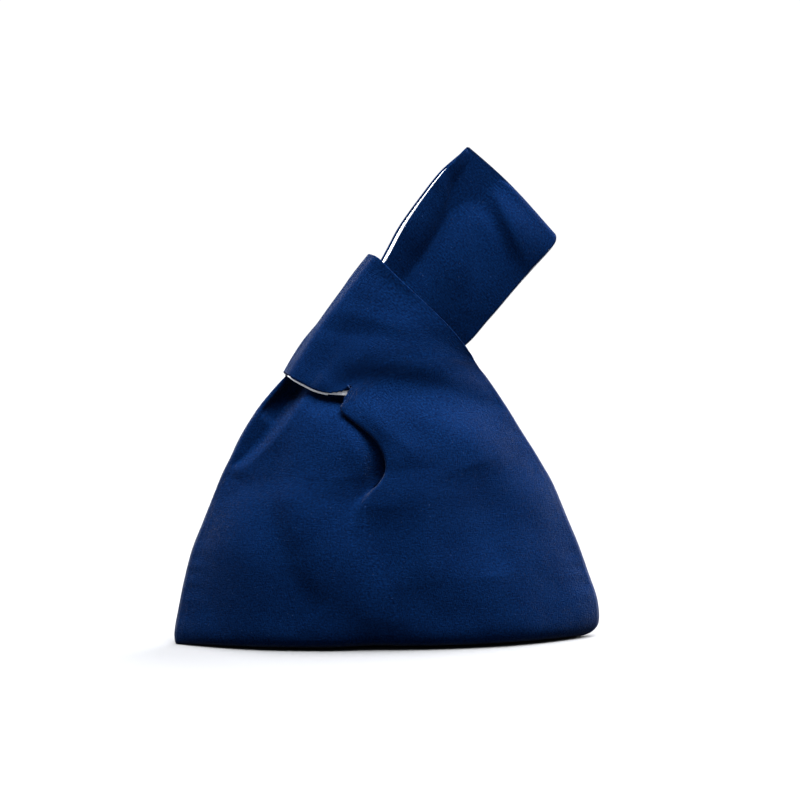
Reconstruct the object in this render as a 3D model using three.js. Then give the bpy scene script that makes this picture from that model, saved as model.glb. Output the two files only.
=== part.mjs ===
// A knot bag of plain navy canvas, standing filled on its base, with its long handle drawn up
// through its short one. Millimetres, +Z up. The front faces -Y, and the origin is the middle of
// the base. Front and back are two cut panels, each in one piece with half of both handles, sewn
// to each other at the sides, under the base and at the two handle ends. White lining shows in
// the two handle loops.
//
// Every sheet is laid out as points of x, depth and z, where the depth is the distance from the
// seam plane between the two panels, and is then turned to its own side of that plane.

import * as THREE from 'three';
import { mergeVertices } from 'three/addons/utils/BufferGeometryUtils.js';

// Cloth
const canvasThickness = 1.4;
const liningThickness = 1.0;
const pieceGap = 0.3;
const seamDepth = pieceGap / 2;

// Flap: the inner edge of the short handle, turned under along the front of the bag
const turnRadius = 3.2;
const turnedStrip = 13;

// Handle ends, rounded between their two halves
const longEndRadius = 5;
const shortEndRadius = 8;

// Lining: how far it lies inside the canvas at a handle's outer edge
const longLiningInset = 1.8;
const shortLiningInset = 1.0;

// Cells of the cloth grid across a half row
const leftColumns = 20;
const rightColumns = 15;
const turnColumns = 5;

// How squarely a row swells away from its outer edge
const rowRoundness = 2.6;

// Share of a row between a side seam and the next column, and how much closer columns lie there
const seamShare = 0.052;
const columnEase = 1.2;

// Valleys sink no nearer to the seam plane than this
const leastDepth = 3;

// Colours
const canvasColour = 0x0b2755;
const liningColour = 0xe4e4ea;

function table(names, rows) {
  const keys = names.split(' ');
  return rows.map((row) => Object.fromEntries(keys.map((key, index) => [key, row[index]])));
}

// Whole rows of a panel, from the seam under the base up to the foot of the flap.
// z: height; left, right: the side seams; mid: the foot of the flap on this row; depth: how far
// the cloth stands out beside it; turn: how far the flap's edge is turned, in degrees;
// backIn: how much further right the back panel's foot lies; steps: grid rows to the next row.
const bodyRows = table('z left right mid depth turn backIn steps', [
  [0, -108, 108, -8, seamDepth, 0, 0, 1],
  [0, -111, 111, -8, 13, 0, 0, 1],
  [0, -114, 114, -8, 25, 0, 0, 1],
  [0, -116.5, 116.5, -9, 35, 0, 0, 1],
  [2.2, -118, 118, -10, 40.5, 0, 0, 1],
  [9, -118.7, 118.7, -12, 44, 0, 0, 1],
  [21, -116.6, 117.7, -15, 45.5, 0, 0, 2],
  [37, -113.3, 113.3, -20, 46, 0, 0, 2],
  [53, -109, 107.8, -26, 45.5, 0, 1, 1],
  [67, -103.4, 102, -31, 44, 2, 2, 1],
  [79, -98.6, 96.4, -30, 42, 14, 3, 1],
  [88, -95, 92, -20.5, 40, 60, 4, 1],
]);

// Rows of the short handle's half, from the flap to the end that faces upper left.
// outX, outZ, outDepth: the edge that starts as the right side seam; inX, inZ, inDepth: the edge
// that starts as the flap; crown: how far the middle stands proud; bow: how far it bends towards
// the handle's end; liningX, liningZ: how far the lining reaches past the inner edge.
const shortNames = 'outX outZ outDepth inX inZ inDepth crown bow turn backIn liningX liningZ steps';
const shortRows = table(shortNames, [
  [87.5, 96, seamDepth, -7.5, 95.8, 40, 0, 1, 125, 4, 0, 0, 1],
  [81.5, 106.5, seamDepth, -6.7, 103.9, 39.5, 0, 3, 180, 4, 0, 0, 1],
  [75, 118, seamDepth, -9.4, 111.4, 38, 0, 5, 180, 4, 0, 0, 1],
  [68.5, 128.5, seamDepth, -14.6, 117.3, 36, 0, 7, 180, 4, 0, 0, 1],
  [61.5, 139, seamDepth, -21, 123.2, 33.5, 0, 9, 180, 4, 0, 0, 1],
  [55.5, 147.5, seamDepth, -29.8, 131.2, 30, 0, 11, 155, 3, 0, 0, 1],
  [52, 151.7, 1.2, -27.4, 136.6, 28, 0, 11, 75, 3, 0, 0, 1],
  [48.7, 156, 3.5, -24.7, 142.2, 25.5, 0, 11, 0, 3, 0, 0, 1],
  [44.6, 161.2, 7, -28.8, 140.9, 23.3, 0, 10.3, 0, 2, 0.3, -3.8, 1],
  [41, 165.6, 9.3, -32, 139.9, 21.8, 0, 9.5, 0, 2, -1.6, -2.7, 1],
  [32, 175.5, 12, -36.8, 139.6, 19.5, 0, 8, 0, 1, -0.7, -1.6, 2],
  [18.5, 188.5, 13, -42.4, 141, 17.5, 0, 5, 0, 0, -0.3, -1.1, 2],
  [1.5, 204.3, 12, -47.6, 143.6, 14.5, 1, 3, 0, 0, -0.3, -0.9, 1],
]);
const shortEnd = {
  outX: -10.6, outZ: 215.7, inX: -58.1, inZ: 150.2, crown: 0, bow: 3, turn: 0, corner: 0, backIn: 0,
  liningX: -0.3, liningZ: -0.6,
};

// Rows of the long handle's half, from the flap to the end that stands upper right.
// outX, outZ, outDepth: the edge that starts as the left side seam; backOut: how much further
// left the back panel's outer edge lies; the other columns are as above.
const longNames = 'outX outZ outDepth inX inZ inDepth crown bow backIn backOut liningX liningZ steps';
const longRows = table(longNames, [
  [-92.5, 94, seamDepth, -3, 95, 27.5, 4, 0, 4, 0, 0, 0, 1],
  [-88.1, 102.8, seamDepth, 1.5, 104, 27, 5, 0, 4, 0, 0, 0, 1],
  [-83.7, 112.2, seamDepth, 1, 112, 25, 5, 0, 3, 0, 0, 0, 1],
  [-78.7, 121, seamDepth, -1, 118.5, 22, 5, 0, 3, 0, 0, 0, 1],
  [-72.5, 130.4, seamDepth, -3.5, 123.5, 19, 4, 0, 2, 0, 0, 0, 1],
  [-65.9, 138.6, seamDepth, -5, 128.5, 16, 3, 0, 2, 0, 0, 0, 1],
  [-57.7, 147.5, seamDepth, -5.5, 133.5, 13, 2, 0, 1, 0, 0, 0, 1],
  [-50, 154.7, 2.4, -3.5, 138, 10, 2, 0, 0, 0, 0, 0, 2],
  [-39, 167.4, 3.6, 6, 143, 7.5, 2, 0, 0, 0, 0, 0, 2],
  [-21.8, 189, 4.3, 23, 152.5, 5.5, 2.5, 0, 0, 1, 0.3, -0.3, 2],
  [-2.9, 210, 4.8, 41.9, 164.5, 5.2, 4, 0, 0, 2.3, 0.3, -0.3, 2],
  [8.3, 229.7, 5.6, 56.1, 180.7, 5.4, 5, 0, 0, 3.6, 0.4, -0.4, 2],
  [20, 246.1, 5.6, 69.8, 196.3, 5.5, 4.5, 1, 0, 3, 0.4, -0.4, 2],
  [32, 261, 5.6, 82.8, 210.6, 5.6, 3, 2, 0, 1.5, 0.4, -0.4, 1],
]);
const longEnd = {
  outX: 44.6, outZ: 275.5, inX: 95, inZ: 223.6, crown: 0, bow: 3, corner: 4, backIn: 0, backOut: 0,
  liningX: 0.4, liningZ: -0.4,
};
const longLiningFrom = 9;
const shortLiningFrom = 8;

// Main folds of each block. A fold runs on a bent line from (x1, z1) past (x2, z2) to (x3, z3);
// rise: its height, below zero for a valley; wideLeft, wideRight: its reach to the two sides.
const foldNames = 'x1 z1 x2 z2 x3 z3 rise wideLeft wideRight';
const frontFolds = {
  left: table(foldNames, [
    [-53, 150, -67, 127, -88, 96, -10, 8, 5],
    [-42, 140, -59, 121, -86, 84, 9, 5, 13],
    [-24, 136, -12.3, 118, -8.4, 91, -4, 8, 14],
    [-73.5, 96, -68, 82, -60, 58, -2.5, 12, 12],
    [42, 264, 22.5, 242.7, 2, 208, -2, 6, 7],
    [59, 249, 69.8, 234, 75, 214, -2, 4, 5],
  ]),
  right: table(foldNames, [
    [-24, 135, -4.8, 120.5, 2, 96, 2.5, 6, 9],
    [-19, 146.5, 3.4, 142, 27, 144, -3, 7, 7],
    [-22, 139.5, 14, 132.6, 34, 125, 1.5, 6, 6],
  ]),
};
const backFolds = {
  left: table(foldNames, [
    [-53, 146, -63, 132, -76, 112, -6, 8, 6],
    [-46, 139, -57, 121, -78, 80, 3, 5, 12],
    [-20, 136, -9, 118, -5, 91, -4, 8, 14],
    [-60, 92, -66, 70, -84, 48, -2.5, 13, 13],
    [48, 260, 34, 238, 12, 205, -1.8, 7, 7],
  ]),
  right: table(foldNames, [
    [-20, 134, -1, 120, 6, 96, 2.5, 6, 9],
    [-14, 147, 8, 140, 34, 138, -3, 8, 8],
    [20, 96, 34, 74, 62, 58, -2.5, 13, 13],
  ]),
};

function straight(a, b, t) {
  return a + (b - a) * t;
}

// The height that a fold adds at a place: full on its line, and fading to both sides and ends
function foldHeight(fold, x, z) {
  const samples = 32;
  let nearest = Infinity;
  let height = 0;
  for (let sample = 0; sample <= samples; sample += 1) {
    const t = sample / samples;
    const lineX = straight(straight(fold.x1, fold.x2, t), straight(fold.x2, fold.x3, t), t);
    const lineZ = straight(straight(fold.z1, fold.z2, t), straight(fold.z2, fold.z3, t), t);
    const alongX = straight(fold.x2 - fold.x1, fold.x3 - fold.x2, t);
    const alongZ = straight(fold.z2 - fold.z1, fold.z3 - fold.z2, t);
    const distance = Math.hypot(x - lineX, z - lineZ);
    if (distance < nearest) {
      const side = alongX * (z - lineZ) - alongZ * (x - lineX);
      const reach = side < 0 ? fold.wideLeft : fold.wideRight;
      nearest = distance;
      height = fold.rise * Math.sin(Math.PI * t) ** 0.7 * Math.exp(-((distance / reach) ** 2));
    }
  }
  return height;
}

// A depth with the folds of its block added, which fade out towards a seam
function folded(depth, x, z, folds) {
  const fade = Math.min(1, (depth - seamDepth) / leastDepth);
  const height = folds.reduce((sum, fold) => sum + foldHeight(fold, x, z), 0);
  return Math.max(depth + height * fade, Math.min(depth, leastDepth));
}

// A point of a row: s is 0 at its outer edge and 1 at its inner one. towardsEnd is 1 or -1 for
// the side to which the handle's end lies.
function rowPoint(row, s, towardsEnd) {
  const rise = 1 - (1 - s) ** rowRoundness;
  const bump = Math.sin(Math.PI * s);
  const chordX = row.inX - row.outX;
  const chordZ = row.inZ - row.outZ;
  const bow = (row.bow * bump * towardsEnd) / Math.hypot(chordX, chordZ);
  return new THREE.Vector3(
    row.outX + chordX * s + chordZ * bow,
    straight(row.outDepth, row.inDepth, rise) + row.crown * bump,
    row.outZ + chordZ * s - chordX * bow,
  );
}

// The points across a row. On a handle the second one lies where the lining begins.
function acrossRow(row, columns, inset, towardsEnd, folds) {
  const length = Math.hypot(row.inX - row.outX, row.inZ - row.outZ);
  const second = row.outDepth > seamDepth ? inset / length : seamShare;
  const points = [];
  for (let column = 0; column <= columns; column += 1) {
    const share = ((column - 1) / (columns - 1)) ** columnEase;
    const s = column === 0 ? 0 : straight(second, 1, share);
    const point = rowPoint(row, s, towardsEnd);
    point.y = folded(point.y, point.x, point.z, folds);
    points.push(point);
  }
  return points;
}

// The left half of a row, from the outer edge to the inner one
function leftRow(row, folds) {
  return acrossRow(row, leftColumns, longLiningInset, -1, folds);
}

// The right half of a row, from the outer edge to the flap's crease and on round its turned strip
function rightRow(row, folds) {
  const turn = THREE.MathUtils.degToRad(row.turn);
  const arc = turnRadius * turn;
  const reach = turn < Math.PI / 2
    ? turnRadius * Math.sin(turn) + (turnedStrip - arc) * Math.cos(turn)
    : turnRadius;
  const chord = new THREE.Vector2(row.inX - row.outX, row.inZ - row.outZ);
  const slope = (Math.PI * row.bow) / chord.length();
  const inward = new THREE.Vector2(chord.x - chord.y * slope, chord.y + chord.x * slope).normalize();
  const crest = { ...row, inX: row.inX - inward.x * reach, inZ: row.inZ - inward.y * reach };
  const points = acrossRow(crest, rightColumns, shortLiningInset, 1, folds);
  const crestDepth = points.at(-1).y;
  for (let column = 1; column <= turnColumns; column += 1) {
    const across = (turnedStrip * column) / turnColumns;
    const bent = Math.min(across, arc);
    const angle = bent / turnRadius;
    const forward = turnRadius * Math.sin(angle) + (across - bent) * Math.cos(angle);
    const inside = turnRadius * (1 - Math.cos(angle)) + (across - bent) * Math.sin(angle);
    points.push(new THREE.Vector3(
      crest.inX + inward.x * forward,
      crestDepth - inside,
      crest.inZ + inward.y * forward,
    ));
  }
  return points;
}

// The rows that round a handle's end, from the given radius down to the seam
function endRows(end, radius, lastRow) {
  const back = new THREE.Vector2(
    lastRow.outX + lastRow.inX - end.outX - end.inX,
    lastRow.outZ + lastRow.inZ - end.outZ - end.inZ,
  ).normalize();
  const length = Math.hypot(end.outX - end.inX, end.outZ - end.inZ);
  return [90, 55, 25, 0].map((degrees) => {
    const angle = THREE.MathUtils.degToRad(degrees);
    const distance = radius * (1 - Math.cos(angle));
    const depth = Math.max(seamDepth, radius * Math.sin(angle));
    const cut = (end.corner * (1 - Math.sin(angle))) / length;
    return {
      ...end,
      outX: end.outX + back.x * distance,
      outZ: end.outZ + back.y * distance,
      outDepth: depth,
      inX: straight(end.inX, end.outX, cut) + back.x * distance,
      inZ: straight(end.inZ, end.outZ, cut) + back.y * distance,
      inDepth: depth,
      steps: 1,
    };
  });
}

// Runs a smooth curve up each column of a block of rows, and returns the grid of its points
function skin(rows, steps) {
  const curves = rows[0].map((_, column) => (
    new THREE.CatmullRomCurve3(rows.map((row) => row[column]), false, 'centripetal')
  ));
  const grid = [];
  for (let row = 0; row < rows.length; row += 1) {
    const parts = row < rows.length - 1 ? steps[row] : 1;
    for (let part = 0; part < parts; part += 1) {
      const t = (row + part / parts) / (rows.length - 1);
      grid.push(curves.map((curve) => {
        const point = curve.getPoint(t);
        point.y = Math.max(point.y, seamDepth);
        point.z = Math.max(point.z, 0);
        return point;
      }));
    }
  }
  return grid;
}

function count(rows) {
  return rows.reduce((sum, row) => sum + row.steps, 0);
}

// The two blocks of a panel: the left one runs into the long handle, the right one into the
// short. Up to the foot of the flap they share their inner column.
function panelGrids(back) {
  const folds = back ? backFolds : frontFolds;
  const swayed = (row) => (back
    ? { ...row, inX: row.inX + row.backIn, outX: row.outX - (row.backOut ?? 0) }
    : row);
  const body = bodyRows.map((row) => ({
    outZ: row.z, outDepth: seamDepth, inX: row.mid, inZ: row.z, inDepth: row.depth,
    crown: 0, bow: 0, turn: row.turn, backIn: row.backIn, steps: row.steps,
  }));
  const short = [...shortRows, ...endRows(shortEnd, shortEndRadius, shortRows.at(-1))];
  const long = [...longRows, ...endRows(longEnd, longEndRadius, longRows.at(-1))];
  const rightBody = body.map((row, index) => (
    rightRow(swayed({ ...row, outX: bodyRows[index].right }), folds.right)
  ));
  const leftBody = body.map((row, index) => {
    const foot = rightBody[index].at(-1);
    const half = { ...row, outX: bodyRows[index].left, inX: foot.x, inZ: foot.z, inDepth: foot.y };
    return leftRow(half, folds.left);
  });
  const right = skin(
    [...rightBody, ...short.map((row) => rightRow(swayed(row), folds.right))],
    [...body, ...short].map((row) => row.steps),
  );
  const left = skin(
    [...leftBody, ...long.map((row) => leftRow(swayed(row), folds.left))],
    [...body, ...long].map((row) => row.steps),
  );
  const foot = count(body.slice(0, -1));
  for (let row = 0; row <= foot; row += 1) {
    const shared = left[row].at(-1).clone().lerp(right[row].at(-1), 0.5);
    left[row][left[row].length - 1] = shared;
    right[row][right[row].length - 1] = shared;
  }
  const bodyCount = count(body);
  return { left, right, bodyCount };
}

// The part of a handle's grid that its lining backs, from the given row of the handle's table
// to just short of the seam at its end. The lining begins at the second column and has one column more, which lies
// past the inner edge.
function liningGrid(grid, bodyCount, rows, from, end) {
  const start = bodyCount + count(rows.slice(0, from));
  const shows = [...rows.slice(from), end];
  return grid.slice(start, -1).map((points, index) => {
    const where = placeInTable(rows, from, index);
    const before = shows[Math.floor(where)];
    const after = shows[Math.ceil(where)];
    const t = where - Math.floor(where);
    const past = points.at(-1).clone();
    past.x += straight(before.liningX, after.liningX, t);
    past.z += straight(before.liningZ, after.liningZ, t);
    past.outward = points.at(-1).outward;
    return [...points.slice(1), past];
  });
}

// Where a grid row lies among the rows of its table, counted from the given one
function placeInTable(rows, from, index) {
  let left = index;
  for (let row = from; row < rows.length; row += 1) {
    if (left < rows[row].steps) {
      return row - from + left / rows[row].steps;
    }
    left -= rows[row].steps;
  }
  return rows.length - from;
}

// Turns grids of points into one sheet: its points, each held once, and its four-sided cells,
// which start at an end of their shorter diagonal
function sheetOf(grids) {
  const points = [];
  const cells = [];
  const numbers = new Map();
  const numberOf = (point) => {
    if (!numbers.has(point)) {
      numbers.set(point, points.length);
      points.push(point);
    }
    return numbers.get(point);
  };
  grids.forEach(({ grid, flip }) => {
    for (let row = 0; row < grid.length - 1; row += 1) {
      for (let column = 0; column < grid[row].length - 1; column += 1) {
        const corners = [
          grid[row][column], grid[row][column + 1], grid[row + 1][column + 1], grid[row + 1][column],
        ];
        const diagonals = [0, 1].map((start) => corners[start].distanceTo(corners[start + 2]));
        if (diagonals[1] < diagonals[0]) {
          corners.push(corners.shift());
        }
        const cell = corners.map(numberOf);
        cells.push(flip ? [cell[0], cell[3], cell[2], cell[1]] : cell);
      }
    }
  });
  return { points, cells };
}

// Gives each point of a sheet its outward direction
function setDirections({ points, cells }) {
  const sums = points.map(() => new THREE.Vector3());
  const first = new THREE.Vector3();
  const second = new THREE.Vector3();
  cells.forEach(([a, b, c, d]) => {
    first.subVectors(points[c], points[a]);
    second.subVectors(points[d], points[b]);
    first.cross(second);
    [a, b, c, d].forEach((number) => sums[number].add(first));
  });
  points.forEach((point, number) => {
    point.outward = sums[number].normalize();
  });
}

// A sheet moved into the cloth by a distance. Points on a sewn edge slide in the seam plane.
function moved(sheet, distance) {
  return sheet.points.map((point) => {
    const normal = point.outward.clone();
    let length = distance;
    if (point.y < seamDepth + 1e-6) {
      normal.y = 0;
      length = distance / Math.max(normal.length(), 0.6);
      normal.normalize();
    }
    const place = point.clone().addScaledVector(normal, -length);
    place.y = Math.max(place.y, seamDepth);
    return place;
  });
}

// A closed solid between two distances inside a sheet, on its own side of the seam plane
function solid(sheet, top, bottom, back) {
  const size = sheet.points.length;
  const positions = [...moved(sheet, top), ...moved(sheet, bottom)]
    .flatMap((point) => [point.x, back ? point.y : -point.y, point.z]);
  const triangles = [];
  const edges = new Map();
  const quad = (a, b, c, d) => triangles.push([a, b, c], [a, c, d]);
  sheet.cells.forEach((cell) => {
    const [a, b, c, d] = cell;
    quad(a, b, c, d);
    quad(a + size, d + size, c + size, b + size);
    cell.forEach((from, index) => {
      const to = cell[(index + 1) % 4];
      if (!edges.delete(`${to} ${from}`)) {
        edges.set(`${from} ${to}`, [from, to]);
      }
    });
  });
  edges.forEach(([from, to]) => quad(to, from, from + size, to + size));
  const geometry = new THREE.BufferGeometry();
  geometry.setAttribute('position', new THREE.Float32BufferAttribute(positions, 3));
  geometry.setIndex(triangles.flatMap(([a, b, c]) => (back ? [a, b, c] : [a, c, b])));
  const merged = mergeVertices(geometry, 1e-4);
  merged.computeVertexNormals();
  return merged;
}

function canvasPiece(name, sheet, back) {
  const material = new THREE.MeshStandardMaterial({
    color: canvasColour, roughness: 0.9, metalness: 0,
  });
  const mesh = new THREE.Mesh(solid(sheet, 0, canvasThickness, back), material);
  mesh.name = name;
  return mesh;
}

function liningPiece(name, sheet, back) {
  const material = new THREE.MeshStandardMaterial({
    color: liningColour, roughness: 0.85, metalness: 0,
  });
  const top = canvasThickness + pieceGap;
  const mesh = new THREE.Mesh(solid(sheet, top, top + liningThickness, back), material);
  mesh.name = name;
  return mesh;
}

const bag = new THREE.Group();
['front', 'back'].forEach((side) => {
  const back = side === 'back';
  const { left, right, bodyCount } = panelGrids(back);
  const panel = sheetOf([{ grid: left, flip: true }, { grid: right, flip: false }]);
  setDirections(panel);
  const longGrid = liningGrid(left, bodyCount, longRows, longLiningFrom, longEnd);
  const shortGrid = liningGrid(right, bodyCount, shortRows, shortLiningFrom, shortEnd);
  bag.add(canvasPiece(`outer_${side}`, panel, back));
  bag.add(liningPiece(`lining_long_${side}`, sheetOf([{ grid: longGrid, flip: true }]), back));
  bag.add(liningPiece(`lining_short_${side}`, sheetOf([{ grid: shortGrid, flip: false }]), back));
});

export default bag;
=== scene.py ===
import math

import bpy
import numpy as np
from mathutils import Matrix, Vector


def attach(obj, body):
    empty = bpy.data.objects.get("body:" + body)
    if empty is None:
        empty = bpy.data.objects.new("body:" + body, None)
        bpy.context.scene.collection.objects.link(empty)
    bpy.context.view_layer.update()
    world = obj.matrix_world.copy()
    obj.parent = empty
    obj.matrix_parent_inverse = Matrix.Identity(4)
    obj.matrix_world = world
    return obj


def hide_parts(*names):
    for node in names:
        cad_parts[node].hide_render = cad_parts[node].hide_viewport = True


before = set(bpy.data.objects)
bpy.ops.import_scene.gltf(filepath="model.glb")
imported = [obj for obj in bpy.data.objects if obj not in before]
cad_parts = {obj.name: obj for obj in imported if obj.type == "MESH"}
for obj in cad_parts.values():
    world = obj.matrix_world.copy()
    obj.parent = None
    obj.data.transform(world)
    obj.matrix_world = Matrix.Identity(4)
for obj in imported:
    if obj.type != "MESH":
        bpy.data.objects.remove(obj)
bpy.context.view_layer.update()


def table(names, rows):
    """Rows of values under the names of their columns."""
    return [dict(zip(names.split(), row)) for row in rows]


# Cloth. SEAM_DEPTH: how far a sewn edge lies from the plane of the seams, in which front and back
# meet; towards it the canvas thins to SEAM_EDGE_THICKNESS over SEAM_TAPER of depth. A free rim
# bulges by RIM_BULGE of its thickness, but not within RIM_FROM_SEAM of a seam. LEAST_SLANT: the
# least share of a sewn edge's direction that is taken to lie in the plane of the seams.
CANVAS_THICKNESS = 1.3
LINING_THICKNESS = 0.8
LINING_GAP = 0.15
SEAM_DEPTH = 0.01
SEAM_EDGE_THICKNESS = 0.35
SEAM_TAPER = 5.0
RIM_BULGE = 0.32
RIM_FROM_SEAM = 0.8
LEAST_SLANT = 0.6

# Flap: the inner edge of the short handle, turned under along the front of the bag
TURN_RADIUS = 2.5
TURNED_STRIP = 13.0

# Handle ends, rounded between their two halves. END_TURNS: where the rows lie on the round, in
# degrees from the seam
LONG_END_RADIUS = 5.0
SHORT_END_RADIUS = 4.5
END_TURNS = (90, 55, 25, 0)

# Lining: how far it lies inside the canvas at a handle's outer edge
LONG_LINING_INSET = 0.9
SHORT_LINING_INSET = 0.8

# Cells of the cloth grid. The first EDGE_COLUMNS lie between a handle's outer edge and its lining,
# or on SEAM_SHARE of the row where that edge is sewn. COLUMN_EASE: over 1, the rest crowd beside
# them.
EDGE_COLUMNS = 3
LEFT_COLUMNS = 86
RIGHT_COLUMNS = 74
TURN_COLUMNS = 20
PAST_COLUMNS = 3
ROW_CELLS = 6
COLUMN_EASE = 1.15
SEAM_SHARE = 0.05

# Shape of the rows. ROW_ROUNDNESS: how early a row swells to its full depth; LEAST_DEPTH: folds
# and ripples push nothing nearer to the plane of the seams than this.
ROW_ROUNDNESS = 2.6
LEAST_DEPTH = 2.3

METRES = 0.001
TINY = 1e-9
SAME_DEPTH = 1e-6
SAME_PLACE = 1e-4

# Camera, light and floor, in metres and degrees, with the sensor in millimetres. WORLD_LIGHT and
# WORLD_SEEN: how bright the world is as a light and behind the bag.
CAMERA_TARGET = (0.0068, 0, 0.1344)
CAMERA_AZIMUTH = -8
CAMERA_ELEVATION = 2
CAMERA_DISTANCE = 1.3
CAMERA_FOCAL_PIXELS = 2329.7
IMAGE_PIXELS = 800
SENSOR = 36
WORLD_LIGHT = 0.35
WORLD_SEEN = 1.05
SOFTBOX_PLACE = (0.05, -0.42, 0.75)
SOFTBOX_AIM = (0, 0, 0.17)
SOFTBOX_WIDTH = 0.5
SOFTBOX_HEIGHT = 0.35
SOFTBOX_POWER = 9
FLOOR_REACH = 12.0
FLOOR_COLOUR = (0.074, 0.075, 0.0785, 1)
FLOOR_ROUGHNESS = 0.9
FLOOR_SPECULAR = 0.1

# Wide soft lights. x, y, z: the direction that each comes from; angle: its width in degrees
SUNS = table("name x y z strength angle", [
    ["right_light", 0.8, 0.5, 0.75, 17, 50],
    ["left_light", -0.8, 0.65, 0.4, 9, 50],
    ["top_light", 0.1, -0.2, 1.0, 28, 50],
])

# Whole rows of a panel, from the seam under the base up to the foot of the flap.
# z: height; left, right: the side seams; mid: the foot of the flap on this row; depth: how far
# the cloth stands out beside it; crown: how far the left half stands proud in its middle; turn:
# how far the flap's edge is turned, in degrees; strip: how wide the turned strip is here, as a
# share; back_in: how much further right the back panel's foot lies; steps: how many rows of the
# cloth grid, times ROW_CELLS, lead to the next row.
BODY_ROWS = table("z left right mid depth crown turn strip back_in steps", [
    [0, -116.6, 105, -8, SEAM_DEPTH, 0, 0, 1, 0, 1],
    [0, -117.4, 107, -8, 10, 0, 0, 1, 0, 1],
    [0.2, -118, 109.5, -8, 20, 0, 0, 1, 0, 1],
    [1.1, -118.6, 113.5, -9, 34, 0, 0, 1, 0, 1],
    [3.3, -119, 117.6, -10, 41.8, 0, 0, 1, 0, 1],
    [7.5, -119, 120.4, -12, 44.8, 0, 0, 1, 0, 1],
    [20, -116.8, 119.9, -15, 45.6, 0, 0, 1, 0, 2],
    [37, -113.3, 114.2, -20, 47, 0, 0, 0.9, 0, 2],
    [53, -109, 108.4, -26, 46.5, 0, 0, 0.8, 1, 1],
    [67, -103.4, 102.4, -29, 45.4, 1, 4, 0.7, 2, 1],
    [79, -98.6, 97.4, -27, 44.2, 3.4, 30, 0.6, 3, 1],
    [88, -95, 93.4, -14, 42.8, 8.4, 100, 0.8, 4, 1],
])

# Rows of the short handle's half, from the flap to the end that faces upper left.
# out_*: the edge that starts as the right side seam; in_*: the edge that starts as the flap;
# crown: how far the middle stands proud; bow: how far it bends towards the handle's end;
# strip: how wide the strip along the inner edge is here, as a share. It is turned under as the
# flap, is narrowest at the flap's upper corner and lies flat past it; lining_*: how far the
# lining reaches past the inner edge. corner: how far the end's inner corner is rounded off.
SHORT_ROWS = table(
    "out_x out_z out_depth in_x in_z in_depth crown bow turn strip back_in lining_x lining_z steps", [
        [88.8, 96, SEAM_DEPTH, -7.6, 95.4, 41.2, 0, 1, 125, 1, 4, 0, 0, 1],
        [82.4, 106.5, SEAM_DEPTH, -7.1, 103.3, 39.6, 0, 3, 180, 1, 4, 0, 0, 1],
        [75, 118, SEAM_DEPTH, -10.2, 110.8, 37, 0, 5, 180, 1, 4, 0, 0, 1],
        [68.5, 128.5, SEAM_DEPTH, -15.6, 116.6, 35, 0, 7, 180, 1, 4, 0, 0, 1],
        [61.5, 139, SEAM_DEPTH, -22.2, 122.4, 32.4, 0, 9, 180, 1, 4, 0, 0, 1],
        [55.5, 147.5, SEAM_DEPTH, -31, 130, 30, 0, 11, 180, 0.8, 3, 0, 0, 1],
        [52, 151.7, 1.2, -26.4, 136.6, 28, 0, 11, 180, 0.4, 3, 0, 0, 1],
        [48.7, 156, 3.5, -23.2, 142.4, 25.5, 0, 11, 90, 0.15, 3, 0, 0, 1],
        [47.8, 157.2, 4.3, -25, 142, 25.2, 0, 11, 0, 0.2, 3, 6, -5, 1],
        [44.6, 161.2, 7, -28, 141, 24.2, 0, 11, 0, 0.3, 2, 0.4, -3, 1],
        [41, 165.6, 9.3, -32, 139.9, 23, 0, 10.6, 0, 0.5, 2, -0.8, -1.5, 1],
        [32, 175.5, 13, -36.8, 139.6, 21, 0, 9, 0, 0.8, 1, -0.5, -1, 2],
        [18.5, 188.5, 14.2, -42.4, 141, 18.8, 0, 6, 0, 1, 0, -0.5, -0.9, 2],
        [2.5, 203.4, 13.6, -46.4, 142.8, 16.4, 0, 2, 0, 1, 0, -0.5, -0.9, 1],
    ])
SHORT_END = dict(
    out_x=-10.6, out_z=215.7, in_x=-58.1, in_z=150.2, out_depth=11.5, in_depth=13.5, crown=0, bow=0.8,
    turn=0, strip=1, corner=0, back_in=0, lining_x=-0.5, lining_z=-0.9)

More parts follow.
